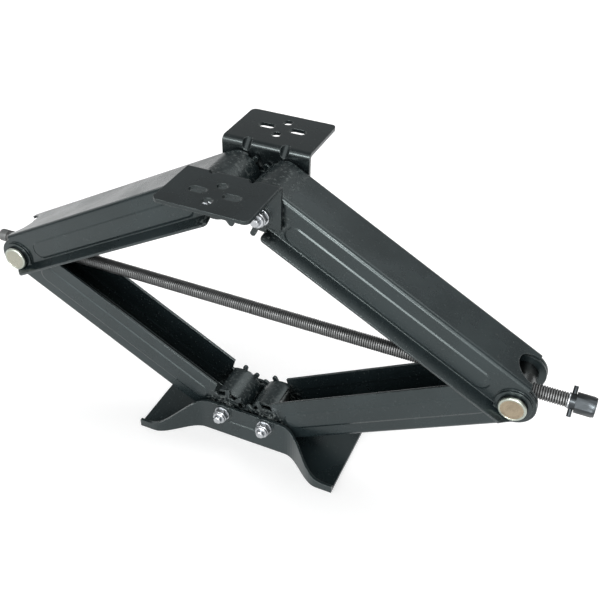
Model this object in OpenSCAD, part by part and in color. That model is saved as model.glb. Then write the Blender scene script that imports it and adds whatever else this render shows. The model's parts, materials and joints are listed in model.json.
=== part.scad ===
// Scissor stabiliser jack: a rhombus of four pressed channel arms on a foot plate,
// drawn in by one screw with a left-hand and a right-hand thread.
// Millimetres. Origin on the ground under the middle of the foot, +X along the screw
// towards its drive end, +Y towards the rear bracket, +Z up.

/* [Linkage] */
// Pivot-to-pivot length of every arm
arm_length = 320; // [300:5:340]
// Angle of the arms above level in the stored pose
rest_angle = 28.7; // [28:0.1:30]
// Distance between the two base pivots, which is also the gear centre distance
pivot_spacing = 58.4; // [58.2:0.1:59]
// Height of the base pivots above the ground
base_pivot_height = 36.8; // [36:0.2:40]

/* [Arms] */
// Sheet thickness of the arms
arm_sheet = 3; // [2.6:0.1:3.2]
// Outside half width of the two lower arms
lower_half = 26; // [25:0.5:26]
// Outside half width of the two upper arms
upper_half = 31; // [31:0.5:31.5]
// Height of the web's outer face above the line of the pivots
web_out = 28.5; // [27.5:0.5:28.5]
// Depth of the lower arms' walls below the line of the pivots
lower_depth = 27.5; // [26:0.5:27.5]
// Depth of the upper arms' walls below the line of the pivots
upper_depth = 16; // [15:0.5:18]
// Half width over the flared lips of the upper arms
lip_half = 45; // [42:0.5:45]
// Height of the pressed panels on the arm walls
panel_rise = 1; // [0.6:0.1:1]

/* [Gears] */
// Number of teeth that a whole gear would have
gear_teeth = 11; // [11:1:11]
// Radius over the tips of the teeth
gear_tip_r = 34; // [33:0.5:34]
// Width of a tooth
tooth_width = 6.2; // [5.5:0.1:6.2]

/* [Foot] */
// Half length of the foot
foot_half_length = 132; // [125:1:140]
// Half width of the foot at its ends
foot_half_width = 65.4; // [60:0.2:70]
// Sheet thickness of the foot and the brackets
foot_sheet = 4; // [3.5:0.5:4]
// Height of the foot's walls beside the pivots
foot_wall_height = 47.5; // [46:0.5:49]
// Height of the rim at the ends of the foot
foot_rim_height = 10; // [8:0.5:12]

/* [Brackets] */
// Half length of each bracket along the screw
bracket_half = 51; // [50:0.5:53]
// Height of the bracket's top face above the top pivots
deck_rise = 39.4; // [38:0.2:42]
// Distance of the bracket's outer edge from the middle of the jack
deck_reach = 109.3; // [106:0.1:112]
// Distance of the hole group's centre from the middle of the jack
hole_reach = 76.7; // [75:0.1:78]
// Distance between the two slots
slot_spacing = 36.7; // [36:0.1:38]
// Width of a slot
slot_width = 11; // [10:0.5:12]
// Length of a slot
slot_length = 19.5; // [18:0.5:21]
// Distance between the two round holes
hole_spacing = 30.7; // [29:0.1:33]
// Diameter of a round hole
hole_d = 11.5; // [10:0.5:12]

/* [Screw] */
// Outside diameter of the thread
screw_d = 16; // [16:0.5:16]
// Distance of the screw's plain end from the middle of the jack
screw_tail = 362; // [358:1:366]
// Distance of the drive hexagon's outer face from the middle of the jack
drive_end = 387.5; // [386:0.5:389]
// Size of the drive hexagon across its flats
hex_flats = 19.05; // [19.05:0.05:19.1]
// Diameter of the cross pin
cross_pin_d = 4.8; // [4.5:0.1:5]
// Length of the cross pin
cross_pin_length = 33; // [30:1:36]
// Turn of the cross pin away from upright
cross_pin_turn = 39; // [0:1:90]

/* [Pivots] */
// Diameter of the trunnions at the side pivots
trunnion_d = 30; // [28:0.5:30]
// Half length of the trunnions
trunnion_half = 39.4; // [38:0.2:41]
// Diameter of the pivot bolts
bolt_d = 10; // [10:0.5:10]
// Outside diameter of the pivot sleeves
sleeve_d = 16; // [15.5:0.5:16]

/* [Hidden] */
$fn = 96;
half_spacing = pivot_spacing / 2;
side_x = half_spacing + arm_length * cos(rest_angle);
side_z = base_pivot_height + arm_length * sin(rest_angle);
top_z = base_pivot_height + 2 * arm_length * sin(rest_angle);

running = 0.06;         // radial clearance of a part that turns in or on another
gear_root_r = pivot_spacing - gear_tip_r - 1.4;
tooth_pitch = 360 / gear_teeth;
mesh_angle = 180 + rest_angle;
eye_gap = 0.5;          // room between a rolled eye and the teeth of the next arm
outer_bend = 5;
inner_bend = outer_bend - arm_sheet;
end_r = 23.4;
boss_r = 19.6;
panel_r = 9.4;
panel_slope = 2.2;
panel_start = 28;
panel_end = arm_length - 31;
lip_tilt = 17;
lip_start = 12;
lip_corner = 5;
cut = 400;              // larger than any piece that it trims

foot_inner = 28.5;
foot_outer = foot_inner + foot_sheet;
bead_r = 1.3;           // bead pressed along the foot's walls, below the bolts
bead_z = 24;
bead_half = 21;
bolt_boss_r = 12.6;     // flat boss under each bolt's washers
bolt_boss_h = 1;
foot_steps = [for (i = [0:66]) -foot_half_length + 2 * foot_half_length * i / 66];
bracket_inner = 33.2;
bracket_outer = bracket_inner + foot_sheet;
bracket_drop = 12.5;
bracket_bend = 7;
deck_corner = 6;
dart_x = 22;            // darts pressed across the brackets' bends
dart_r = 5;
dart_reach = 11;

washer_d = 20;
washer_h = 1.8;
nut_flats = 17;
nut_h = 9.4;
nut_hex_h = 6.4;
insert_h = 2;
head_h = 6.4;
bolt_tail = 4.4;

journal_r = 6;
journal_start = 359.4;
ring_r = 8.8;
ring_h = 1.8;
collar_r = 8.6;
collar_start = journal_start + ring_h + 0.3;
hex_start = 367.2;
hex_turn = -10;
cross_pin_x = 364.2;

// ---- helpers ----

// A profile drawn in X and Z, made into a plate from y to y + t.
module plate_y(y, t) {
    translate([0, y + t, 0]) rotate([90, 0, 0]) linear_extrude(t) children();
}

// A profile drawn in Y and Z, made into a bar from x to x + length.
module bar_x(x, length) {
    translate([x, 0, 0]) rotate([90, 0, 90]) linear_extrude(length) children();
}

// A round bar along Y from y0 to y1.
module rod_y(r, y0, y1) {
    translate([0, y1, 0]) rotate([90, 0, 0]) cylinder(r = r, h = y1 - y0);
}

// A round bar along X from x0 to x1.
module rod_x(r, x0, x1) {
    translate([x0, 0, 0]) rotate([0, 90, 0]) cylinder(r = r, h = x1 - x0);
}

module mirrored(axis) {
    children();
    mirror(axis) children();
}

module rounded_rectangle(x0, x1, y0, y1, r) {
    translate([x0 + r, y0]) square([x1 - x0 - 2 * r, y1 - y0]);
    translate([x0, y0 + r]) square([x1 - x0, y1 - y0 - 2 * r]);
    for (x = [x0 + r, x1 - r])
        for (y = [y0 + r, y1 - r])
            translate([x, y]) circle(r);
}

module hexagon(flats) {
    circle(d = flats / cos(30), $fn = 6);
}

// ---- arms, drawn with the geared pivot at the origin and the arm along +X ----

// Channel section in Y and Z: rounded at the web, open below.
module channel_section(half, top, r) {
    translate([-half, -cut]) square([2 * half, cut + top - r]);
    translate([r - half, 0]) square([2 * (half - r), top]);
    for (side = [-1, 1])
        translate([side * (half - r), top - r]) circle(r);
}

module tooth(angle) {
    tip_centre = gear_tip_r - tooth_width / 2;
    rotate(angle) {
        translate([0, -tooth_width / 2]) square([tip_centre, tooth_width]);
        translate([tip_centre, 0]) circle(d = tooth_width);
    }
}

// Side view of an arm's wall, with the teeth at its geared end.
module wall_outline(depth, depth_start, teeth) {
    circle(gear_root_r);
    for (step = teeth)
        tooth(mesh_angle + step * tooth_pitch);
    intersection() {
        circle(web_out);
        polygon([[0, 0], [0, cut], [-cut, cut], [-cut, 0.75 * cut]]);
    }
    polygon([
        [0, web_out], [arm_length, web_out], [arm_length, -end_r], [arm_length - 24, -depth],
        [depth_start, -depth], [depth_start - 3, -depth / 2], [0, -depth / 2]
    ]);
    translate([arm_length, 0]) circle(end_r);
}

// Panel with round ends and sloping sides, pressed outwards from y to y + panel_rise.
module raised_panel(y, r) {
    root_r = r + panel_slope;
    sunk = 1;
    below_r = root_r + panel_slope * sunk / panel_rise;
    for (x = [panel_start + root_r, panel_end - root_r])
        translate([x, y - sunk, 0])
            rotate([-90, 0, 0])
                cylinder(r1 = below_r, r2 = r, h = sunk + panel_rise);
    bar_x(panel_start + root_r, panel_end - panel_start - 2 * root_r)
        polygon([
            [y - sunk, -below_r], [y + panel_rise, -r], [y + panel_rise, r], [y - sunk, below_r]
        ]);
}

// The web's end is rolled round the pivot, with a gap towards the arm.
module rolled_eye(inner_half, eye_end) {
    difference() {
        rod_y(web_out, eye_gap - inner_half, inner_half - eye_gap);
        rod_y(web_out - arm_sheet, -cut, cut);
        plate_y(-cut, 2 * cut)
            polygon([
                [0, 0], [0, cut], [cut, cut], [cut, -cut],
                [cut * cos(eye_end), cut * sin(eye_end)]
            ]);
    }
}

// A notch in the web's outer end leaves room round the trunnion.
module web_notch(inner_half) {
    notch_r = inner_half - 7;
    translate([arm_length - 2, 0, 0]) {
        cylinder(r = notch_r, h = cut);
        translate([0, -notch_r, 0]) cube([cut, 2 * notch_r, cut]);
    }
}

module arm(half, depth, depth_start, teeth, eye_end, side_boss, gear_boss) {
    inner_half = half - arm_sheet;
    difference() {
        union() {
            intersection() {
                difference() {
                    bar_x(-60, arm_length + 120) channel_section(half, web_out, outer_bend);
                    bar_x(-61, arm_length + 122)
                        channel_section(inner_half, web_out - arm_sheet, inner_bend);
                }
                plate_y(-half, 2 * half) wall_outline(depth, depth_start, teeth);
            }
            rolled_eye(inner_half, eye_end);
            mirrored([0, 1, 0]) {
                raised_panel(half, panel_r);
                translate([arm_length, 0, 0])
                    rod_y(boss_r, half - 1, half + side_boss);
                rod_y(boss_r - 5, half - 1, half + gear_boss);
            }
        }
        mirrored([0, 1, 0]) raised_panel(inner_half, panel_r - arm_sheet / 2);
        rod_y(sleeve_d / 2 + running, -cut, cut);
        translate([arm_length, 0, 0]) rod_y(trunnion_d / 2 + running, -cut, cut);
        web_notch(inner_half);
    }
}

// Flared lip along the open edge of an upper arm's wall.
module lip() {
    root_y = upper_half - 0.6 * arm_sheet;
    width = (lip_half - root_y) / cos(lip_tilt);
    translate([0, root_y, 0.3 - upper_depth])
        rotate([-lip_tilt, 0, 0])
            linear_extrude(arm_sheet) {
                polygon([
                    [lip_start, 0], [arm_length + 8, 0], [arm_length + 8, width - 8],
                    [arm_length, width], [lip_start + lip_corner, width],
                    [lip_start + lip_corner, width - lip_corner], [lip_start, width - lip_corner]
                ]);
                translate([lip_start + lip_corner, width - lip_corner]) circle(lip_corner);
            }
}

module lower_arm(teeth, depth_start) {
    color("DarkSlateGray")
        arm(lower_half, lower_depth, depth_start, teeth, 318, 1.6, 2.1);
}

module upper_arm(teeth) {
    color("DarkSlateGray") {
        difference() {
            union() {
                arm(upper_half, upper_depth, lip_start, teeth, 235, 3, 1.8);
                mirrored([0, 1, 0]) lip();
            }
            translate([arm_length, 0, 0]) rod_y(trunnion_d / 2 + running, -cut, cut);
        }
    }
}

module place_lower_right() {
    translate([half_spacing, 0, base_pivot_height])
        rotate([0, -rest_angle, 0])
            mirror([0, 0, 1])
                children();
}

module place_upper_right() {
    translate([half_spacing, 0, top_z]) rotate([0, rest_angle, 0]) children();
}

// The lists give each gear's teeth in tooth pitches from the line of centres. Left and
// right gears are half a pitch apart, so that the teeth of one run between the other's.
module lower_left_arm()
    mirror([1, 0, 0]) place_lower_right() lower_arm([-0.5, 0.5, 1.5, 2.5], 27);
module lower_right_arm()
    place_lower_right() lower_arm([-1, 0, 1, 2], 19);
module upper_left_arm()
    mirror([1, 0, 0]) place_upper_right() upper_arm([-1.5, -0.5, 0.5, 1.5]);
module upper_right_arm()
    place_upper_right() upper_arm([-1, 0, 1, 2]);

// ---- foot ----

function smooth_step(t) = t < 0 ? 0 : t > 1 ? 1 : t * t * (3 - 2 * t);
function foot_side(x) =
    foot_outer + (foot_half_width - foot_outer) * smooth_step((abs(x) - 56) / 56);
function foot_top(x) =
    foot_wall_height
    - (foot_wall_height - foot_rim_height) * smooth_step((abs(x) - 46) / 76);

module base_foot() {
    inside = [for (x = foot_steps) [x, foot_side(x) - foot_sheet]];
    outside = [for (i = [66:-1:0]) [foot_steps[i], foot_side(foot_steps[i])]];
    floor_edge = [for (x = foot_steps) [x, foot_side(x) - foot_sheet / 2]];
    top_edge = [for (i = [66:-1:0]) [foot_steps[i], foot_top(foot_steps[i])]];
    color("DimGray")
        difference() {
            union() {
                mirrored([0, 1, 0]) {
                    intersection() {
                        linear_extrude(foot_wall_height + 1)
                            polygon(concat(inside, outside));
                        plate_y(0, 100)
                            polygon(concat(
                                [[-foot_half_length, 0], [foot_half_length, 0]], top_edge));
                    }
                    linear_extrude(foot_sheet)
                        polygon(concat(
                            [[foot_half_length, -0.5], [-foot_half_length, -0.5]], floor_edge));
                }
                at_base_pivots() rod_y(bolt_boss_r, -foot_outer - bolt_boss_h, -foot_inner - 1);
                at_base_pivots() rod_y(bolt_boss_r, foot_inner + 1, foot_outer + bolt_boss_h);
                for (side = [-1, 1])
                    translate([0, side * foot_outer, bead_z])
                        rod_x(bead_r, -bead_half, bead_half);
            }
            at_base_pivots() rod_y(bolt_d / 2 + running, -cut, cut);
        }
}

// ---- brackets ----

module bracket_section() {
    difference() {
        union() {
            translate([bracket_inner, -bracket_drop])
                square([foot_sheet, bracket_drop + deck_rise - bracket_bend]);
            translate([bracket_inner + bracket_bend, deck_rise - foot_sheet])
                square([deck_reach - bracket_inner - bracket_bend, foot_sheet]);
            intersection() {
                translate([bracket_inner + bracket_bend, deck_rise - bracket_bend])
                    circle(bracket_bend);
                translate([bracket_inner, deck_rise - bracket_bend])
                    square(bracket_bend);
            }
        }
        translate([bracket_inner + bracket_bend, deck_rise - bracket_bend])
            circle(bracket_bend - foot_sheet);
    }
}

// Outside corner of the bend, filled in.
module bend_corner() {
    size = 22;
    translate([bracket_inner, deck_rise - size]) {
        square([size, size - bracket_bend]);
        translate([bracket_bend, 0]) square([size - bracket_bend, size]);
        translate([bracket_bend, size - bracket_bend]) circle(bracket_bend);
    }
}

// Round bar along the slanting bottom of the darts that stiffen the bend.
module dart_bars(r) {
    offset_y = (dart_reach - dart_r * sqrt(2)) / 2;
    for (side = [-1, 1])
        translate([side * dart_x, bracket_inner + offset_y, deck_rise - offset_y])
            rotate([45, 0, 0])
                rod_y(r, -20, 20);
}

module deck_plan() {
    rounded_rectangle(
        -bracket_half, bracket_half, bracket_inner - 40, deck_reach, deck_corner);
}

module deck_holes() {
    for (side = [-1, 1])
        translate([side * slot_spacing / 2, hole_reach, 0]) {
            slot_run = slot_length - slot_width;
            translate([-slot_run / 2, -slot_width / 2, 0])
                cube([slot_run, slot_width, cut]);
            for (end = [-1, 1])
                translate([end * slot_run / 2, 0, 0])
                    cylinder(d = slot_width, h = cut);
        }
    for (side = [-1, 1])
        translate([0, hole_reach + side * hole_spacing / 2, 0])
            cylinder(d = hole_d, h = cut);
}

module bracket() {
    translate([0, 0, top_z])
        color("DimGray")
            difference() {
                union() {
                    intersection() {
                        bar_x(-bracket_half, 2 * bracket_half) bracket_section();
                        translate([0, 0, -cut / 2]) linear_extrude(cut) deck_plan();
                    }
                    intersection() {
                        dart_bars(dart_r + foot_sheet);
                        bar_x(1 - bracket_half, 2 * bracket_half - 2) bend_corner();
                    }
                    for (side = [-1, 1])
                        translate([side * half_spacing, 0, 0])
                            rod_y(bolt_boss_r, bracket_inner + 1, bracket_outer + bolt_boss_h);
                }
                dart_bars(dart_r);
                deck_holes();
                for (side = [-1, 1])
                    translate([side * half_spacing, 0, 0])
                        rod_y(bolt_d / 2 + running, 0, cut);
            }
}

module rear_bracket() bracket();
module front_bracket() mirror([0, 1, 0]) bracket();

// ---- pivot hardware ----

module at_base_pivots() {
    for (side = [-1, 1])
        translate([side * half_spacing, 0, base_pivot_height]) children();
}

module at_top_pivots() {
    for (side = [-1, 1])
        translate([side * half_spacing, 0, top_z]) children();
}

module sleeve(half) {
    color("Silver")
        difference() {
            rod_y(sleeve_d / 2, 0.1 - half, half - 0.1);
            rod_y(bolt_d / 2 + running, -cut, cut);
        }
}

// Hexagon head at the rear, tail past the nut at the front.
module bolt(outer) {
    head_y = outer + washer_h;
    tail_y = outer + washer_h + nut_h + bolt_tail;
    color("Silver") {
        rod_y(bolt_d / 2, 1 - tail_y, head_y);
        translate([0, 1 - tail_y, 0])
            rotate([90, 0, 0])
                cylinder(r1 = bolt_d / 2, r2 = bolt_d / 2 - 1, h = 1);
        intersection() {
            plate_y(head_y, head_h) hexagon(nut_flats);
            translate([0, head_y, 0])
                rotate([-90, 0, 0])
                    cylinder(r1 = nut_flats / 2 + 4, r2 = nut_flats / 2 - 0.4, h = head_h);
        }
    }
}

module washers(outer) {
    color("Silver")
        mirrored([0, 1, 0])
            difference() {
                rod_y(washer_d / 2, outer, outer + washer_h);
                rod_y(bolt_d / 2 + running, 0, cut);
            }
}

// Locking nut: a hexagon with a round collar that holds a plastic insert.
module nut(outer) {
    seat = outer + washer_h;
    color("Silver")
        translate([0, -seat, 0])
            rotate([90, 0, 0])
                difference() {
                    union() {
                        intersection() {
                            linear_extrude(nut_hex_h) hexagon(nut_flats);
                            cylinder(
                                r1 = nut_flats / 2 + 3.6, r2 = nut_flats / 2 + 0.2,
                                h = nut_hex_h);
                        }
                        cylinder(r = nut_flats / 2 - 0.4, h = nut_h - 1);
                        translate([0, 0, nut_h - 1])
                            cylinder(
                                r1 = nut_flats / 2 - 0.4, r2 = nut_flats / 2 - 1.4, h = 1);
                    }
                    translate([0, 0, -1]) cylinder(r = bolt_d / 2 + running, h = cut);
                    translate([0, 0, nut_h - insert_h - 0.6])
                        cylinder(r = nut_flats / 2 - 1.8, h = insert_h + 0.1);
                }
}

module nut_insert(outer) {
    seat = outer + washer_h;
    color("SteelBlue")
        translate([0, -seat, 0])
            rotate([90, 0, 0])
                translate([0, 0, nut_h - insert_h - 0.55])
                    difference() {
                        cylinder(r = nut_flats / 2 - 1.85, h = insert_h);
                        translate([0, 0, -1]) cylinder(r = bolt_d / 2 + running, h = cut);
                    }
}

module base_pivot_sleeves() at_base_pivots() sleeve(foot_inner);
module base_pivot_bolts() at_base_pivots() bolt(foot_outer + bolt_boss_h);
module base_pivot_washers() at_base_pivots() washers(foot_outer + bolt_boss_h);
module base_pivot_nuts() at_base_pivots() nut(foot_outer + bolt_boss_h);
module base_nut_inserts() at_base_pivots() nut_insert(foot_outer + bolt_boss_h);
module top_pivot_sleeves() at_top_pivots() sleeve(bracket_inner);
module top_pivot_bolts() at_top_pivots() bolt(bracket_outer + bolt_boss_h);
module top_pivot_washers() at_top_pivots() washers(bracket_outer + bolt_boss_h);
module top_pivot_nuts() at_top_pivots() nut(bracket_outer + bolt_boss_h);
module top_nut_inserts() at_top_pivots() nut_insert(bracket_outer + bolt_boss_h);

// ---- trunnions and screw ----

module trunnion(x) {
    rim = 1.5;
    color("Tan")
        translate([x, 0, side_z])
            difference() {
                union() {
                    rod_y(trunnion_d / 2, rim - trunnion_half, trunnion_half - rim);
                    mirrored([0, 1, 0])
                        translate([0, trunnion_half - rim, 0])
                            rotate([-90, 0, 0])
                                cylinder(
                                    r1 = trunnion_d / 2, r2 = trunnion_d / 2 - rim, h = rim);
                }
                rod_x(screw_d / 2 + running, -cut, cut);
            }
}

module left_trunnion() trunnion(-side_x);
module right_trunnion() trunnion(side_x);

module cross_pin_hole(r, half) {
    translate([cross_pin_x, 0, side_z])
        rotate([-cross_pin_turn, 0, 0])
            translate([0, 0, -half])
                cylinder(r = r, h = 2 * half);
}

module lead_screw() {
    screw_r = screw_d / 2;
    nose = 2.5;
    color("Gray")
        difference() {
            translate([0, 0, side_z]) {
                rod_x(screw_r, nose - screw_tail, journal_start);
                translate([nose - screw_tail, 0, 0])
                    rotate([0, -90, 0])
                        cylinder(r1 = screw_r, r2 = screw_r - nose, h = nose);
                rod_x(journal_r, journal_start - 1, drive_end - 4);
            }
            cross_pin_hole(cross_pin_d / 2 + running, 40);
        }
}

// Loose ring on the screw's journal. It stops the right trunnion short of the cross pin.
module stop_ring() {
    color("Silver")
        translate([0, 0, side_z])
            difference() {
                rod_x(ring_r, journal_start + 0.15, journal_start + 0.15 + ring_h);
                rod_x(journal_r + running, -cut, cut);
            }
}

module hex_drive() {
    color("DimGray")
        difference() {
            translate([0, 0, side_z]) {
                rod_x(collar_r, collar_start, hex_start + 1);
                intersection() {
                    bar_x(hex_start, drive_end - hex_start)
                        rotate(hex_turn) hexagon(hex_flats);
                    translate([hex_start, 0, 0])
                        rotate([0, 90, 0])
                            cylinder(
                                r1 = hex_flats / 2 + 6, r2 = hex_flats / 2 + 0.6,
                                h = drive_end - hex_start);
                }
            }
            translate([0, 0, side_z])
                rod_x(journal_r + running, 0, drive_end - 4 + running);
            cross_pin_hole(cross_pin_d / 2 + running, 40);
        }
}

module drive_cross_pin() {
    color("DimGray") cross_pin_hole(cross_pin_d / 2, cross_pin_length / 2);
}

base_foot();
base_pivot_sleeves();
base_pivot_bolts();
base_pivot_washers();
base_pivot_nuts();
base_nut_inserts();
lower_left_arm();
lower_right_arm();
upper_left_arm();
upper_right_arm();
front_bracket();
rear_bracket();
top_pivot_sleeves();
top_pivot_bolts();
top_pivot_washers();
top_pivot_nuts();
top_nut_inserts();
left_trunnion();
right_trunnion();
lead_screw();
stop_ring();
hex_drive();
drive_cross_pin();
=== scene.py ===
"""Scissor stabiliser jack: finishes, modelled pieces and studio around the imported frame."""

import json
import math

import bpy
from mathutils import Matrix, Vector


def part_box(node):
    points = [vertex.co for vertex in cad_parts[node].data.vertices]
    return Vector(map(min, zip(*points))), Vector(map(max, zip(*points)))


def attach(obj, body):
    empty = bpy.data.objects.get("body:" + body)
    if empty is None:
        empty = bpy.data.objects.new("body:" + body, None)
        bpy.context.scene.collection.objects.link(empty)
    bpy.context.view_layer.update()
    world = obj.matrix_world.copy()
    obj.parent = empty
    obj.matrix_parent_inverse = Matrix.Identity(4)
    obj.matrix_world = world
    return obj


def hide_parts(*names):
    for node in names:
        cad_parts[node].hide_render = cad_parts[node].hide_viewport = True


bl_info = {
    "name": "Scissor Stabiliser Jack",
    "version": (1, 0, 0),
    "blender": (4, 5, 0),
    "location": "3D View > Sidebar > Jack",
    "description": "Finishes and models the parts of a scissor stabiliser jack",
    "category": "Object",
}

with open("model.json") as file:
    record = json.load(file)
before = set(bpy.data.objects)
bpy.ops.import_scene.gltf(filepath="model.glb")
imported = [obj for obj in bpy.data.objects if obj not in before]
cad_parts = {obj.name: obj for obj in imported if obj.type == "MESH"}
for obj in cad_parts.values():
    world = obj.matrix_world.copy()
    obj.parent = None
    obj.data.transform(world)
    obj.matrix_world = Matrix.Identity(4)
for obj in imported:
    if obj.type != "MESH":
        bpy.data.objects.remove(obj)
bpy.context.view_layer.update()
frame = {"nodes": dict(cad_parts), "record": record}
NODES = frame["nodes"]
MM = 0.001
FULL_TURN = 2 * math.pi
QUARTER_ARC = [math.radians(angle) for angle in range(0, 91, 15)]
X_AXIS = Vector((1, 0, 0))
Y_AXIS = Vector((0, 1, 0))
WHITE = (1.0, 1.0, 1.0, 1.0)

BODY_OF = {
    node: body
    for body, nodes in frame["record"]["behaviour"]["bodies"].items()
    for node in nodes
}
SLOT_OF = {node: piece.material_slots[0].material.name for node, piece in NODES.items()}
HARDWARE = [node for node in NODES if SLOT_OF[node] in ("zinc", "dark_oxide", "nylon")]


def box_centre(node):
    """Centre of the box around a CAD node."""
    low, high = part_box(node)
    return (low + high) / 2


SCREW_LOW, SCREW_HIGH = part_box("lead_screw")
SCREW_Z = box_centre("lead_screw").z
SCREW_R = (SCREW_HIGH.z - SCREW_LOW.z) / 2
JOURNAL_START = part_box("stop_ring")[0].x
TRUNNION_X = box_centre("right_trunnion").x
TRUNNION_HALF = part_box("right_trunnion")[1].y
BOLTS_LOW, BOLTS_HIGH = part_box("base_pivot_bolts")
BOLT_FLATS = BOLTS_HIGH.z - BOLTS_LOW.z
PIVOT_X = BOLTS_HIGH.x - BOLT_FLATS / math.sqrt(3)
BASE_PIVOT_Z = box_centre("base_pivot_bolts").z
TOP_PIVOT_Z = box_centre("top_pivot_bolts").z


# ---- fixed values ----

# Points this close are one point, in a modelled piece and in a copy of a CAD node.
MERGE_DISTANCE = 0.01 * MM
COPY_MERGE_DISTANCE = 0.002 * MM

# How far the plain lengths of the lead screw reach into the threads beside them.
SHELL_OVERLAP = 0.5 * MM
SHOULDER_GAP = 0.15 * MM
NOSE_ROUND = 3 * MM
NOSE_RELIEF = 0.2 * MM
JOURNAL_CHAMFER = MM
# How far before the thread the nose starts to narrow, and where it is down to the thread's root.
RUNOUT_START = 3 * MM
RUNOUT_END = 2.2 * MM
THREAD_STEPS = 20
# One turn of the thread: how far along the pitch each point is, and whether it is on the crest.
THREAD_SHAPE = ((0.0, False), (0.06, False), (0.36, True), (0.70, True), (1.0, False))

TRUNNION_STEPS = 96
RIM_LAND = 0.9 * MM
DISH_DEPTH = 0.35 * MM
DRILL_STEPS = 64
DRILL_CLEARANCE = 0.1 * MM
# Distances from the trunnion's axis between which its centre's colour gives way to its rim's.
RIM_COLOUR_START = 11.6 * MM
RIM_COLOUR_FULL = 12.6 * MM
# Depths below the trunnion's end between which the dark bar gives way to the plating.
PLATING_START = 3.2 * MM
PLATING_FULL = 2.6 * MM

# Distances from a geared pivot at which the grease and the painted shade around the gears end, and
# within which both are strongest.
GREASE_AND_SHADE_REACH = 36 * MM
GREASE_AND_SHADE_CORE = 18 * MM
PAINT_SPECULAR_TINT = (0.88, 1.0, 1.0, 1.0)

FLOOR_SIZE = 30.0
FLOOR_GAP = 0.2 * MM
FLOOR_ROUGHNESS = 0.9
FLOOR_GLOW = 0.38
WORLD_STRENGTH = 0.36
# Each light: name, direction it comes from, spread in degrees, strength, and whether it lights
# matt surfaces as well as showing in reflections.
LIGHTS = (
    ("low_light", (0.12, -1.0, 0.14), 18, 1.3, False),
    ("front_light", (0.02, -0.80, 0.56), 90, 2.2, True),
    ("bend_light", (-0.30, -0.76, 0.52), 16, 1.2, False),
    ("edge_light", (0.31, -0.73, 0.61), 10, 1.2, False),
    ("top_light", (0.30, 0.42, 0.85), 50, 1.2, True),
    ("left_light", (-1.0, 0.35, 0.45), 36, 0.4, True),
)

CAMERA_PLACE = (0.34422, -0.67927, 0.79064)
CAMERA_AZIMUTH = math.radians(22.83)
CAMERA_ELEVATION = math.radians(37.70)
CAMERA_ROLL = math.radians(1.45)
CAMERA_LENS = 50.1
CAMERA_SENSOR = 36.0


# ---- sizes and colours ----


def length_property(name, description, default, low, high):
    return bpy.props.FloatProperty(
        name=name, description=description, default=default, min=low, max=high, unit="LENGTH"
    )


def colour_property(name, description, default):
    return bpy.props.FloatVectorProperty(
        name=name, description=description, subtype="COLOR", size=3, min=0, max=1, default=default
    )


class JackSizes(bpy.types.PropertyGroup):
    thread_pitch: length_property(
        "Thread pitch", "Distance from one turn of the thread to the next", 2.6 * MM, MM, 6 * MM
    )
    thread_depth: length_property(
        "Thread depth", "Height of the thread from root to crest", 1.2 * MM, 0.2 * MM, 3 * MM
    )
    thread_gap: length_property(
        "Thread gap", "Plain length between the two hands of thread", 0.6 * MM, 0, 40 * MM
    )
    nose_length: length_property(
        "Nose length", "Plain nose at the free end of the screw", 15 * MM, 4 * MM, 30 * MM
    )
    journal_radius: length_property(
        "Journal radius", "Plain end under the stop ring and the hexagon", 6 * MM, 4 * MM, 8 * MM
    )
    plate_edge: length_property(
        "Plate edge", "Rounding along the edges of the pressed plates", 1.4 * MM, 0.1 * MM, 2 * MM
    )
    trunnion_edge: length_property(
        "Trunnion edge", "Rounding around the ends of the trunnions", 2 * MM, 0.5 * MM, 4 * MM
    )
    hardware_edge: length_property(
        "Hardware edge", "Rounding along the edges of the hardware", 0.35 * MM, 0.05 * MM, MM
    )


class JackColours(bpy.types.PropertyGroup):
    arm_paint: colour_property("Arm paint", "Satin paint of the arms", (0.0085, 0.0135, 0.0150))
    foot_paint: colour_property("Foot paint", "Satin paint of the foot", (0.0080, 0.0130, 0.0145))
    bracket_paint: colour_property("Bracket paint", "Paint of the brackets", (0.0070, 0.0100, 0.0110))
    grease: colour_property("Grease", "Grease pressed out around the gears", (0.17, 0.19, 0.185))
    zinc: colour_property("Zinc", "Plating of bolts, nuts and washers", (0.50, 0.52, 0.54))
    trunnion: colour_property("Trunnion", "Warm plating of the trunnions", (0.36, 0.30, 0.215))
    screw_steel: colour_property("Screw steel", "Crests of the thread", (0.19, 0.195, 0.195))
    screw_oil: colour_property("Screw oil", "Oily roots of the thread", (0.10, 0.10, 0.10))
    bare_steel: colour_property("Bare steel", "Pivot sleeves", (0.40, 0.40, 0.40))
    dark_oxide: colour_property("Dark oxide", "Hexagon and cross pin", (0.050, 0.056, 0.060))
    pin_steel: colour_property("Pin steel", "Trunnions between their faces", (0.07, 0.075, 0.075))
    rim_plate: colour_property("Rim plate", "Rims of the trunnions' faces", (0.38, 0.41, 0.36))
    nylon: colour_property("Nylon", "Insert of the locking nuts", (0.10, 0.12, 0.15))
    floor: colour_property("Floor", "Studio floor", (0.78, 0.78, 0.78))


# ---- shader nodes ----


def add_node(tree, kind, **settings):
    node = tree.nodes.new(kind)
    for name, value in settings.items():
        setattr(node, name, value)
    return node


def feed(tree, value, socket):
    """Links value to socket if it is an output, and otherwise sets it as the socket's constant."""
    if isinstance(value, bpy.types.NodeSocket):
        tree.links.new(value, socket)
    else:
        socket.default_value = value


def noise(tree, vector, scale, detail=4.0):
    """Noise from 0 to 1, with scale in patches to the metre."""
    node = add_node(tree, "ShaderNodeTexNoise")
    feed(tree, vector, node.inputs["Vector"])
    feed(tree, scale, node.inputs["Scale"])
    feed(tree, detail, node.inputs["Detail"])
    return node.outputs["Fac"]


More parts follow.
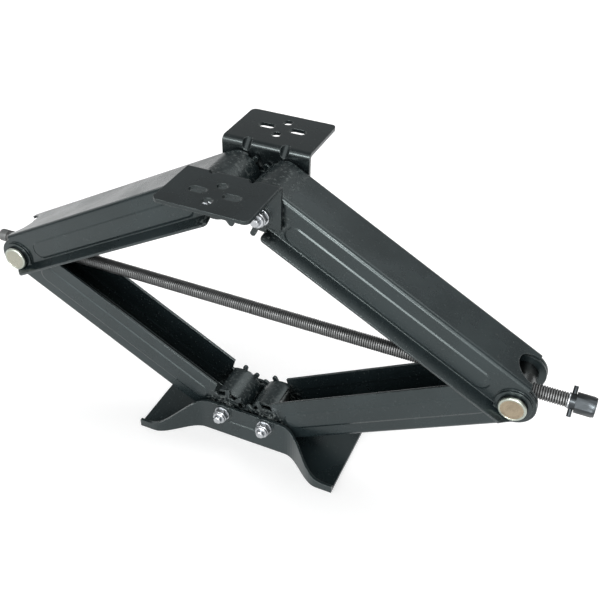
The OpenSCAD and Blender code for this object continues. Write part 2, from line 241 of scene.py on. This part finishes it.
def ramp(tree, value, low, high, to_low=0.0, to_high=1.0):
    """Smooth step that takes low to to_low and high to to_high."""
    node = add_node(tree, "ShaderNodeMapRange", interpolation_type="SMOOTHSTEP")
    for name, given in zip(
        ("Value", "From Min", "From Max", "To Min", "To Max"), (value, low, high, to_low, to_high)
    ):
        feed(tree, given, node.inputs[name])
    return node.outputs["Result"]


def calc(tree, operation, *values):
    """Result of one sum on values, such as "ADD"."""
    node = add_node(tree, "ShaderNodeMath", operation=operation)
    for value, socket in zip(values, node.inputs):
        feed(tree, value, socket)
    return node.outputs[0]


def blend_colour(tree, factor, first, second):
    """First where factor is 0 and second where it is 1."""
    node = add_node(tree, "ShaderNodeMix", data_type="RGBA")
    factor_socket, first_socket, second_socket = node.inputs[0], node.inputs[6], node.inputs[7]
    feed(tree, factor, factor_socket)
    feed(tree, first, first_socket)
    feed(tree, second, second_socket)
    return node.outputs[2]


def new_group(name, inputs, outputs):
    """Empty shader node group. inputs are (name, default) and outputs are (name, socket type)."""
    group = bpy.data.node_groups.new(name, "ShaderNodeTree")
    for label, default in inputs:
        kind = "NodeSocketFloat" if isinstance(default, float) else "NodeSocketColor"
        socket = group.interface.new_socket(label, in_out="INPUT", socket_type=kind)
        socket.default_value = default
    for label, kind in outputs:
        group.interface.new_socket(label, in_out="OUTPUT", socket_type=kind)
    given = add_node(group, "NodeGroupInput").outputs
    result = add_node(group, "NodeGroupOutput").inputs
    return group, given, result


def place_group(tree, group, **values):
    """Adds group to tree. Each keyword is an input's name with its spaces written as underscores."""
    node = add_node(tree, "ShaderNodeGroup", node_tree=group)
    for name, value in values.items():
        feed(tree, value, node.inputs[name.replace("_", " ")])
    return node.outputs


def rgba(colour, gain=1.0):
    """Colour made lighter or darker by gain, with an alpha of 1."""
    return (*(min(1.0, channel * gain) for channel in colour), 1.0)


def object_coordinates(tree):
    return add_node(tree, "ShaderNodeTexCoord").outputs["Object"]


def object_axes(tree):
    """The Object coordinates as separate X, Y and Z."""
    axes = add_node(tree, "ShaderNodeSeparateXYZ")
    feed(tree, object_coordinates(tree), axes.inputs[0])
    return axes.outputs


def axis_distance(tree, across, up):
    """Distance from an axis, from two offsets that are square to it and to each other."""
    squares = calc(tree, "ADD", calc(tree, "POWER", across, 2.0), calc(tree, "POWER", up, 2.0))
    return calc(tree, "SQRT", squares)


def build_surface_group():
    """Cloudy colour, fine grain and scattered specks, for every paint and metal."""
    group, given, result = new_group(
        "Surface Variation",
        [
            ("Colour", (0.5, 0.5, 0.5, 1.0)),
            ("Cloud Colour", (0.5, 0.5, 0.5, 1.0)),
            ("Speck Colour", (0.5, 0.5, 0.5, 1.0)),
            ("Speck Amount", 0.0),
            ("Roughness", 0.4),
            ("Roughness Spread", 0.1),
            ("Cloud Scale", 18.0),
            ("Grain Scale", 900.0),
        ],
        [
            ("Colour", "NodeSocketColor"),
            ("Roughness", "NodeSocketFloat"),
            ("Height", "NodeSocketFloat"),
        ],
    )
    place = object_coordinates(group)
    cloud = ramp(group, noise(group, place, given["Cloud Scale"], 5.0), 0.35, 0.7)
    grain = noise(group, place, given["Grain Scale"], 3.0)
    speck_scale = calc(group, "MULTIPLY", given["Grain Scale"], 0.6)
    speck = ramp(group, noise(group, place, speck_scale, 1.0), 0.68, 0.76)
    speck = calc(group, "MULTIPLY", speck, given["Speck Amount"])
    cloudy = blend_colour(group, cloud, given["Colour"], given["Cloud Colour"])
    feed(group, blend_colour(group, speck, cloudy, given["Speck Colour"]), result["Colour"])
    swing = calc(group, "SUBTRACT", calc(group, "MULTIPLY", cloud, 2.0), 1.0)
    swing = calc(group, "MULTIPLY", swing, given["Roughness Spread"])
    feed(group, calc(group, "ADD", given["Roughness"], swing), result["Roughness"])
    feed(group, grain, result["Height"])
    return group


def build_edge_group():
    """Rounded normals along edges, and a broken mask of where an edge is worn."""
    group, given, result = new_group(
        "Edge Wear",
        [("Radius", 0.5 * MM), ("Wear", 0.5)],
        [("Normal", "NodeSocketVector"), ("Mask", "NodeSocketFloat")],
    )
    bevel = add_node(group, "ShaderNodeBevel", samples=6)
    feed(group, given["Radius"], bevel.inputs["Radius"])
    facing = add_node(group, "ShaderNodeVectorMath", operation="DOT_PRODUCT")
    feed(group, bevel.outputs["Normal"], facing.inputs[0])
    feed(group, add_node(group, "ShaderNodeNewGeometry").outputs["Normal"], facing.inputs[1])
    edge = ramp(group, facing.outputs["Value"], 0.97, 0.75)
    broken = ramp(group, noise(group, object_coordinates(group), 160.0), 0.38, 0.62)
    worn = calc(group, "MULTIPLY", calc(group, "MULTIPLY", edge, broken), given["Wear"])
    feed(group, bevel.outputs["Normal"], result["Normal"])
    feed(group, worn, result["Mask"])
    return group


def build_gear_grease_and_shade_group():
    """Mask of the grease pressed out around the four geared pivots, mottled by noise, and the
    nearness to those pivots that also sets the painted shade there.
    """
    group, given, result = new_group(
        "Gear Grease And Shade",
        [("Pivot X", PIVOT_X), ("Low Pivot Z", BASE_PIVOT_Z), ("High Pivot Z", TOP_PIVOT_Z)],
        [("Mask", "NodeSocketFloat"), ("Near", "NodeSocketFloat")],
    )
    axes = object_axes(group)
    across = calc(group, "SUBTRACT", calc(group, "ABSOLUTE", axes["X"]), given["Pivot X"])
    low = calc(group, "SUBTRACT", axes["Z"], given["Low Pivot Z"])
    high = calc(group, "SUBTRACT", axes["Z"], given["High Pivot Z"])
    up = calc(group, "MINIMUM", calc(group, "ABSOLUTE", low), calc(group, "ABSOLUTE", high))
    reach = axis_distance(group, across, up)
    # Nearness to a pivot: it sets how thick the grease is and how strongly painted shade darkens the
    # paint around the gears.
    near = ramp(group, reach, GREASE_AND_SHADE_REACH, GREASE_AND_SHADE_CORE, 0.0, 0.85)
    patches = noise(group, object_coordinates(group), 260.0, 6.0)
    mottle = ramp(group, patches, 0.50, 0.70, 0.0, 0.8)
    feed(group, calc(group, "MULTIPLY", near, mottle), result["Mask"])
    feed(group, near, result["Near"])
    return group


def build_turned_group():
    """Fine rings around the trunnions' own axis, as a lathe leaves on their faces."""
    group, given, result = new_group(
        "Turned Rings",
        [("Axis X", TRUNNION_X), ("Axis Z", SCREW_Z), ("Ring Scale", 900.0)],
        [("Mask", "NodeSocketFloat"), ("Radius", "NodeSocketFloat")],
    )
    axes = object_axes(group)
    across = calc(group, "SUBTRACT", calc(group, "ABSOLUTE", axes["X"]), given["Axis X"])
    up = calc(group, "SUBTRACT", axes["Z"], given["Axis Z"])
    radius = axis_distance(group, across, up)
    rings = add_node(group, "ShaderNodeCombineXYZ")
    feed(group, radius, rings.inputs[0])
    feed(group, noise(group, rings.outputs[0], given["Ring Scale"], 2.0), result["Mask"])
    feed(group, radius, result["Radius"])
    return group


def start_material(name):
    """A new material, its node tree and its Principled BSDF."""
    material = bpy.data.materials.new(name)
    material.use_nodes = True
    tree = material.node_tree
    return material, tree, tree.nodes["Principled BSDF"]


def bump(tree, height, normal, strength, distance):
    """The normal after height has raised the surface by up to distance."""
    node = add_node(tree, "ShaderNodeBump")
    feed(tree, height, node.inputs["Height"])
    feed(tree, normal, node.inputs["Normal"])
    feed(tree, strength, node.inputs["Strength"])
    feed(tree, distance, node.inputs["Distance"])
    return node.outputs["Normal"]


def paint_material(name, colour, edge, groups, greased_and_shaded=False):
    """Satin paint, worn along its edges. Its last flag adds the grease around the gears and painted
    shade that darkens the paint near them.
    """
    material, tree, shader = start_material(name)
    colours = bpy.context.scene.jack_colours
    surface = place_group(
        tree,
        groups["surface"],
        Colour=rgba(colour),
        Cloud_Colour=rgba(colour, 1.45),
        Speck_Colour=rgba(colours.grease, 0.7),
        Speck_Amount=0.25,
        Roughness=0.27,
        Roughness_Spread=0.05,
        Cloud_Scale=14.0,
        Grain_Scale=700.0,
    )
    wear = place_group(tree, groups["edge"], Radius=edge, Wear=0.55)
    final = blend_colour(tree, wear["Mask"], surface["Colour"], rgba(colours.grease, 0.8))
    roughness = surface["Roughness"]
    if greased_and_shaded:
        grease_and_shade_masks = place_group(tree, groups["grease"])
        grease = grease_and_shade_masks["Mask"]
        # Painted shade: near the geared pivots the paint darkens towards a third of its colour,
        # standing in for the shade between the gears.
        final = blend_colour(tree, grease_and_shade_masks["Near"], final, rgba(colour, 0.35))
        final = blend_colour(tree, grease, final, rgba(colours.grease))
        roughness = calc(tree, "ADD", roughness, calc(tree, "MULTIPLY", grease, 0.25))
    feed(tree, final, shader.inputs["Base Color"])
    feed(tree, roughness, shader.inputs["Roughness"])
    feed(tree, PAINT_SPECULAR_TINT, shader.inputs["Specular Tint"])
    normal = bump(tree, surface["Height"], wear["Normal"], 0.12, 0.2 * MM)
    feed(tree, normal, shader.inputs["Normal"])
    return material


def metal_material(name, colour, roughness, edge, groups, cloud_gain=0.75, wear=0.3):
    """Cloudy, speckled metal that is brighter along its edges."""
    material, tree, shader = start_material(name)
    surface = place_group(
        tree,
        groups["surface"],
        Colour=rgba(colour),
        Cloud_Colour=rgba(colour, cloud_gain),
        Speck_Colour=rgba(colour, 0.4),
        Speck_Amount=0.35,
        Roughness=roughness,
        Roughness_Spread=0.08,
        Cloud_Scale=90.0,
        Grain_Scale=1400.0,
    )
    edges = place_group(tree, groups["edge"], Radius=edge, Wear=wear)
    final = blend_colour(tree, edges["Mask"], surface["Colour"], rgba(colour, 1.5))
    feed(tree, final, shader.inputs["Base Color"])
    feed(tree, surface["Roughness"], shader.inputs["Roughness"])
    feed(tree, 1.0, shader.inputs["Metallic"])
    normal = bump(tree, surface["Height"], edges["Normal"], 0.15, 0.1 * MM)
    feed(tree, normal, shader.inputs["Normal"])
    return material


def trunnion_material(colours, edge, groups):
    """Dark bar with plated ends: a warm centre, paler on the left, a pale rim and turned rings."""
    material = metal_material("Trunnion Plate", colours.trunnion, 0.3, edge, groups, 0.72, 0.5)
    tree = material.node_tree
    shader = tree.nodes["Principled BSDF"]
    rings = place_group(tree, groups["turned"])
    warm = shader.inputs["Base Color"].links[0].from_socket
    scored = ramp(tree, rings["Mask"], 0.35, 0.65, 0.0, 0.4)
    centre = blend_colour(tree, scored, warm, rgba(colours.trunnion, 0.55))
    rim = ramp(tree, rings["Radius"], RIM_COLOUR_START, RIM_COLOUR_FULL)
    face = blend_colour(tree, rim, centre, rgba(colours.rim_plate))
    axes = object_axes(tree)
    on_left = ramp(tree, axes["X"], MM, -MM, 0.0, 0.6)
    face = blend_colour(tree, on_left, face, rgba(colours.rim_plate))
    outward = calc(tree, "ABSOLUTE", axes["Y"])
    plated = ramp(tree, outward, TRUNNION_HALF - PLATING_START, TRUNNION_HALF - PLATING_FULL)
    final = blend_colour(tree, plated, rgba(colours.pin_steel), face)
    feed(tree, final, shader.inputs["Base Color"])
    normal = shader.inputs["Normal"].links[0].from_socket
    feed(tree, bump(tree, rings["Mask"], normal, 0.25, 0.12 * MM), shader.inputs["Normal"])
    return material


def thread_material(steel, oil, root, crest, groups):
    """Steel that is bright on the thread's crests and oily at its roots."""
    material = metal_material("Oiled Thread", steel, 0.46, 0.15 * MM, groups, 0.7, 0.2)
    tree = material.node_tree
    shader = tree.nodes["Principled BSDF"]
    axes = object_axes(tree)
    up = calc(tree, "SUBTRACT", axes["Z"], SCREW_Z)
    height = ramp(tree, axis_distance(tree, axes["Y"], up), root, crest)
    base = shader.inputs["Base Color"].links[0].from_socket
    feed(tree, blend_colour(tree, height, rgba(oil), base), shader.inputs["Base Color"])
    return material


def nylon_material(colour, groups):
    """Matt plastic with a fine grain."""
    material, tree, shader = start_material("Nylon Insert")
    surface = place_group(
        tree,
        groups["surface"],
        Colour=rgba(colour),
        Cloud_Colour=rgba(colour, 1.3),
        Speck_Colour=rgba(colour, 1.8),
        Roughness=0.5,
        Roughness_Spread=0.06,
        Cloud_Scale=120.0,
    )
    feed(tree, surface["Colour"], shader.inputs["Base Color"])
    feed(tree, surface["Roughness"], shader.inputs["Roughness"])
    flat = add_node(tree, "ShaderNodeNewGeometry").outputs["Normal"]
    feed(tree, bump(tree, surface["Height"], flat, 0.1, 0.1 * MM), shader.inputs["Normal"])
    return material


def build_materials():
    """Every material of the jack, by the record's slot names."""
    colours = bpy.context.scene.jack_colours
    sizes = bpy.context.scene.jack_sizes
    groups = {
        "surface": build_surface_group(),
        "edge": build_edge_group(),
        "grease": build_gear_grease_and_shade_group(),
        "turned": build_turned_group(),
    }
    plate, small = sizes.plate_edge, sizes.hardware_edge
    root = SCREW_R - sizes.thread_depth
    return {
        "arm_paint": paint_material("Arm Paint", colours.arm_paint, plate, groups, greased_and_shaded=True),
        "foot_paint": paint_material("Foot Paint", colours.foot_paint, plate, groups),
        "bracket_paint": paint_material("Bracket Paint", colours.bracket_paint, plate, groups),
        "zinc": metal_material("Zinc Plate", colours.zinc, 0.30, small, groups),
        "bare_steel": metal_material("Bare Steel", colours.bare_steel, 0.38, small, groups),
        "dark_oxide": metal_material("Dark Oxide", colours.dark_oxide, 0.36, small, groups),
        "trunnion_plate": trunnion_material(colours, small, groups),
        "oiled_steel": thread_material(
            colours.screw_steel, colours.screw_oil, root, SCREW_R, groups
        ),
        "nylon": nylon_material(colours.nylon, groups),
    }


# ---- modelling ----


def edit_all(piece):
    """Leaves piece alone in edit mode with all of its mesh selected."""
    bpy.ops.object.select_all(action="DESELECT")
    piece.select_set(True)
    bpy.context.view_layer.objects.active = piece
    bpy.ops.object.mode_set(mode="EDIT")
    bpy.ops.mesh.select_all(action="SELECT")


def apply_modifier(piece, kind, **settings):
    """Adds a modifier to piece with its settings, and applies it."""
    modifier = piece.modifiers.new(kind.title(), kind)
    for name, value in settings.items():
        setattr(modifier, name, value)
    bpy.context.view_layer.objects.active = piece
    bpy.ops.object.modifier_apply(modifier=modifier.name)


def trace(name, points):
    """A line through points, drawn by extruding one vertex along them. Ends in edit mode."""
    bpy.ops.object.select_all(action="DESELECT")
    bpy.ops.mesh.primitive_plane_add(size=MM)
    piece = bpy.context.object
    piece.name = name
    bpy.ops.object.mode_set(mode="EDIT")
    bpy.ops.mesh.select_all(action="SELECT")
    bpy.ops.mesh.merge(type="CENTER")
    bpy.ops.transform.translate(value=points[0])
    for start, end in zip(points, points[1:]):
        step = Vector(end) - Vector(start)
        bpy.ops.mesh.extrude_vertices_move(TRANSFORM_OT_translate={"value": step})
    return piece


def turned(name, outline, axis, steps=48):
    """Solid of revolution about an axis through the origin. outline is (along, radius) points."""
    up = Vector((0, 0, 1))
    piece = trace(name, [along * axis + radius * up for along, radius in outline])
    bpy.ops.mesh.select_all(action="SELECT")
    bpy.ops.mesh.spin(steps=steps, angle=FULL_TURN, center=(0, 0, 0), axis=axis)
    bpy.ops.mesh.select_all(action="SELECT")
    bpy.ops.mesh.remove_doubles(threshold=MERGE_DISTANCE)
    bpy.ops.mesh.normals_make_consistent(inside=False)
    bpy.ops.object.mode_set(mode="OBJECT")
    return piece


def threaded_bar(name, start, end, pitch, depth, hand):
    """Threaded bar about the X axis from start to end. hand is 1 for right and -1 for left."""
    root = SCREW_R - depth
    first, last = (start, end) if hand > 0 else (end, start)
    first -= hand * pitch
    turns = math.ceil(abs(last - first) / pitch) + 1
    points = [
        (first + hand * part * pitch, 0.0, SCREW_R if on_crest else root)
        for part, on_crest in THREAD_SHAPE
    ]
    piece = trace(name, points)
    bpy.ops.object.mode_set(mode="OBJECT")
    apply_modifier(
        piece,
        "SCREW",
        axis="X",
        angle=FULL_TURN,
        screw_offset=hand * pitch,
        iterations=turns,
        steps=THREAD_STEPS,
        render_steps=THREAD_STEPS,
        use_merge_vertices=True,
        merge_threshold=MERGE_DISTANCE,
        use_smooth_shade=False,
    )
    edit_all(piece)
    bpy.ops.mesh.remove_doubles(threshold=MERGE_DISTANCE)
    bpy.ops.mesh.normals_make_consistent(inside=False)
    bpy.ops.mesh.bisect(
        plane_co=(start, 0, 0), plane_no=(1, 0, 0), use_fill=True, clear_inner=True
    )
    bpy.ops.mesh.select_all(action="SELECT")
    bpy.ops.mesh.bisect(plane_co=(end, 0, 0), plane_no=(1, 0, 0), use_fill=True, clear_outer=True)
    bpy.ops.mesh.select_all(action="SELECT")
    bpy.ops.mesh.normals_make_consistent(inside=False)
    bpy.ops.object.mode_set(mode="OBJECT")
    return piece


def joined(pieces, name):
    """All of pieces as one object."""
    bpy.ops.object.select_all(action="DESELECT")
    for piece in pieces:
        piece.select_set(True)
    bpy.context.view_layer.objects.active = pieces[0]
    bpy.ops.object.join()
    pieces[0].name = name
    return pieces[0]


def shade_by_angle(piece, degrees):
    """Smooth shading, with an edge kept sharp where it turns by more than degrees."""
    bpy.ops.object.select_all(action="DESELECT")
    piece.select_set(True)
    bpy.context.view_layer.objects.active = piece
    bpy.ops.object.shade_smooth_by_angle(angle=math.radians(degrees))


def move_mesh(piece, step):
    """Moves the mesh and leaves the object at the origin."""
    edit_all(piece)
    bpy.ops.transform.translate(value=step)
    bpy.ops.object.mode_set(mode="OBJECT")


def stand_for(piece, node):
    """Makes piece take the node's place, with its body and its material."""
    piece.data.materials.clear()
    piece.data.materials.append(NODES[node].material_slots[0].material)
    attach(piece, BODY_OF[node])
    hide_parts(node)


def rounded_copy(node, width):
    """A copy of a CAD node with its edges rounded, standing for that node."""
    piece = NODES[node].copy()
    piece.data = NODES[node].data.copy()
    piece.parent = None
    piece.matrix_world = Matrix.Identity(4)
    piece.name = node + "_rounded"
    bpy.context.scene.collection.objects.link(piece)
    edit_all(piece)
    bpy.ops.mesh.customdata_custom_splitnormals_clear()
    bpy.ops.mesh.remove_doubles(threshold=COPY_MERGE_DISTANCE)
    bpy.ops.mesh.dissolve_limited(angle_limit=math.radians(1))
    bpy.ops.mesh.normals_make_consistent(inside=False)
    bpy.ops.object.mode_set(mode="OBJECT")
    apply_modifier(
        piece,
        "BEVEL",
        width=width,
        segments=2,
        limit_method="ANGLE",
        angle_limit=math.radians(40),
        use_clamp_overlap=True,
    )
    shade_by_angle(piece, 50)
    stand_for(piece, node)


# ---- operators ----


class JACK_OT_finishes(bpy.types.Operator):
    """Give every CAD node the material of its slot"""

    bl_idname = "jack.finishes"
    bl_label = "Finishes"

    def execute(self, context):
        materials = build_materials()
        for node, piece in NODES.items():
            piece.material_slots[0].material = materials[SLOT_OF[node]]
        return {"FINISHED"}


class JACK_OT_lead_screw(bpy.types.Operator):
    """Model the lead screw with a left-hand and a right-hand thread"""

    bl_idname = "jack.lead_screw"
    bl_label = "Lead Screw"

    def execute(self, context):
        sizes = context.scene.jack_sizes
        pitch, depth = sizes.thread_pitch, sizes.thread_depth
        root = SCREW_R - depth
        thread_start = SCREW_LOW.x + sizes.nose_length
        shoulder = JOURNAL_START - SHOULDER_GAP
        gap = sizes.thread_gap / 2
        pieces = [
            turned("screw_nose", self.nose(thread_start, root), X_AXIS),
            turned("screw_neck", self.neck(gap + SHELL_OVERLAP, root), X_AXIS),
            turned("screw_journal", self.journal(shoulder, sizes.journal_radius), X_AXIS),
            threaded_bar("left_thread", thread_start, -gap, pitch, depth, -1),
            threaded_bar("right_thread", gap, shoulder, pitch, depth, 1),
        ]
        screw = joined(pieces, "threaded_lead_screw")
        move_mesh(screw, (0, 0, SCREW_Z))
        shade_by_angle(screw, 25)
        stand_for(screw, "lead_screw")
        return {"FINISHED"}

    def nose(self, thread_start, root):
        """Outline of the plain end, rounded at its tip and run out into the thread's root."""
        tip = SCREW_LOW.x
        radius = SCREW_R - NOSE_RELIEF
        rounding = [
            (
                tip + NOSE_ROUND * (1 - math.sin(angle)),
                radius - NOSE_ROUND * (1 - math.cos(angle)),
            )
            for angle in reversed(QUARTER_ARC)
        ]
        return [
            (tip, 0.0),
            *rounding,
            (thread_start - RUNOUT_START, radius),
            (thread_start - RUNOUT_END, root),
            (thread_start + SHELL_OVERLAP, root),
            (thread_start + SHELL_OVERLAP, 0.0),
        ]

    def neck(self, half, root):
        """Outline of the plain length between the two hands of thread."""
        return [(-half, 0.0), (-half, root), (half, root), (half, 0.0)]

    def journal(self, shoulder, radius):
        """Outline of the plain end under the stop ring and the hexagon."""
        start, end = shoulder - SHELL_OVERLAP, SCREW_HIGH.x
        return [
            (start, 0.0),
            (start, radius),
            (end - JOURNAL_CHAMFER, radius),
            (end, radius - JOURNAL_CHAMFER),
            (end, 0.0),
        ]


class JACK_OT_trunnions(bpy.types.Operator):
    """Model the two trunnions with rounded rims, dished faces and the screw's hole"""

    bl_idname = "jack.trunnions"
    bl_label = "Trunnions"

    def execute(self, context):
        rim = context.scene.jack_sizes.trunnion_edge
        half = TRUNNION_HALF
        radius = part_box("right_trunnion")[1].z - SCREW_Z
        dish_r = radius - rim - RIM_LAND
        corner = [
            (half - rim * (1 - math.cos(angle)), radius - rim * (1 - math.sin(angle)))
            for angle in QUARTER_ARC
        ]
        end = [
            (half - DISH_DEPTH, 0.0),
            (half - DISH_DEPTH, dish_r),
            (half, dish_r + DISH_DEPTH),
            *corner,
        ]
        outline = [(-along, from_axis) for along, from_axis in end] + [*reversed(end)]
        right = turned("turned_right_trunnion", outline, Y_AXIS, TRUNNION_STEPS)
        self.drill(right, radius)
        move_mesh(right, (TRUNNION_X, 0, SCREW_Z))
        left = right.copy()
        left.data = right.data.copy()
        left.name = "turned_left_trunnion"
        context.scene.collection.objects.link(left)
        move_mesh(left, (-2 * TRUNNION_X, 0, 0))
        for piece, node in ((right, "right_trunnion"), (left, "left_trunnion")):
            shade_by_angle(piece, 40)
            stand_for(piece, node)
        return {"FINISHED"}

    def drill(self, piece, radius):
        """Cuts the screw's hole across a trunnion of this radius."""
        bpy.ops.object.select_all(action="DESELECT")
        bpy.ops.mesh.primitive_cylinder_add(
            vertices=DRILL_STEPS,
            radius=SCREW_R + DRILL_CLEARANCE,
            depth=4 * radius,
            rotation=(0, math.pi / 2, 0),
        )
        drill = bpy.context.object
        apply_modifier(piece, "BOOLEAN", operation="DIFFERENCE", solver="EXACT", object=drill)
        bpy.data.objects.remove(drill)


class JACK_OT_hardware(bpy.types.Operator):
    """Round the edges of bolts, nuts, washers and the drive"""

    bl_idname = "jack.hardware"
    bl_label = "Hardware"

    def execute(self, context):
        for node in HARDWARE:
            rounded_copy(node, context.scene.jack_sizes.hardware_edge)
        return {"FINISHED"}


class JACK_OT_studio(bpy.types.Operator):
    """Set up the floor, the lights, the world and the camera"""

    bl_idname = "jack.studio"
    bl_label = "Studio"

    def execute(self, context):
        scene = context.scene
        self.lay_floor(scene.jack_colours.floor)
        self.hang_lights()
        self.fill_world(scene)
        self.place_camera(scene)
        scene.view_settings.view_transform = "Standard"
        return {"FINISHED"}

    def lay_floor(self, colour):
        bpy.ops.object.select_all(action="DESELECT")
        bpy.ops.mesh.primitive_plane_add(size=FLOOR_SIZE, location=(0, 0, -FLOOR_GAP))
        floor = bpy.context.object
        floor.name = "studio_floor"
        material, _, shader = start_material("Studio Floor")
        shader.inputs["Base Color"].default_value = rgba(colour)
        shader.inputs["Roughness"].default_value = FLOOR_ROUGHNESS
        shader.inputs["Emission Color"].default_value = WHITE
        shader.inputs["Emission Strength"].default_value = FLOOR_GLOW
        floor.data.materials.append(material)

    def hang_lights(self):
        for name, direction, spread, strength, lights_matt in LIGHTS:
            light = bpy.data.lights.new(name, "SUN")
            light.energy = strength
            light.angle = math.radians(spread)
            lamp = bpy.data.objects.new(name, light)
            lamp.visible_diffuse = lights_matt
            lamp.rotation_euler = Vector(direction).to_track_quat("Z", "Y").to_euler()
            bpy.context.scene.collection.objects.link(lamp)

    def fill_world(self, scene):
        """Even light from all round, in front of a white backdrop."""
        world = bpy.data.worlds.new("Studio")
        world.use_nodes = True
        tree = world.node_tree
        background = tree.nodes["Background"]
        background.inputs["Color"].default_value = WHITE
        background.inputs["Strength"].default_value = WORLD_STRENGTH
        backdrop = add_node(tree, "ShaderNodeBackground")
        backdrop.inputs["Color"].default_value = WHITE
        camera_ray = add_node(tree, "ShaderNodeLightPath").outputs["Is Camera Ray"]
        either = add_node(tree, "ShaderNodeMixShader")
        feed(tree, camera_ray, either.inputs[0])
        feed(tree, background.outputs[0], either.inputs[1])
        feed(tree, backdrop.outputs[0], either.inputs[2])
        feed(tree, either.outputs[0], tree.nodes["World Output"].inputs["Surface"])
        scene.world = world

    def place_camera(self, scene):
        turn = (
            Matrix.Rotation(CAMERA_AZIMUTH, 4, "Z")
            @ Matrix.Rotation(math.pi / 2 - CAMERA_ELEVATION, 4, "X")
            @ Matrix.Rotation(CAMERA_ROLL, 4, "Z")
        )
        camera = bpy.data.cameras.new("camera")
        camera.lens = CAMERA_LENS
        camera.sensor_width = CAMERA_SENSOR
        viewer = bpy.data.objects.new("camera", camera)
        viewer.matrix_world = Matrix.Translation(CAMERA_PLACE) @ turn
        scene.collection.objects.link(viewer)
        scene.camera = viewer


class JACK_PT_parts(bpy.types.Panel):
    """Lists the operators that build the jack"""

    bl_label = "Scissor Jack"
    bl_space_type = "VIEW_3D"
    bl_region_type = "UI"
    bl_category = "Jack"

    def draw(self, context):
        for operator in OPERATORS:
            self.layout.operator(operator.bl_idname)
        for group in (context.scene.jack_sizes, context.scene.jack_colours):
            for name in group.bl_rna.properties.keys():
                if name not in ("rna_type", "name"):
                    self.layout.prop(group, name)


OPERATORS = (
    JACK_OT_finishes,
    JACK_OT_lead_screw,
    JACK_OT_trunnions,
    JACK_OT_hardware,
    JACK_OT_studio,
)
CLASSES = (JackSizes, JackColours, *OPERATORS, JACK_PT_parts)


def register():
    for item in CLASSES:
        bpy.utils.register_class(item)
    bpy.types.Scene.jack_sizes = bpy.props.PointerProperty(type=JackSizes)
    bpy.types.Scene.jack_colours = bpy.props.PointerProperty(type=JackColours)


def unregister():
    del bpy.types.Scene.jack_colours
    del bpy.types.Scene.jack_sizes
    for item in reversed(CLASSES):
        bpy.utils.unregister_class(item)


def main():
    register()
    bpy.ops.jack.finishes()
    bpy.ops.jack.lead_screw()
    bpy.ops.jack.trunnions()
    bpy.ops.jack.hardware()
    bpy.ops.jack.studio()


if __name__ == "__main__":
    main()
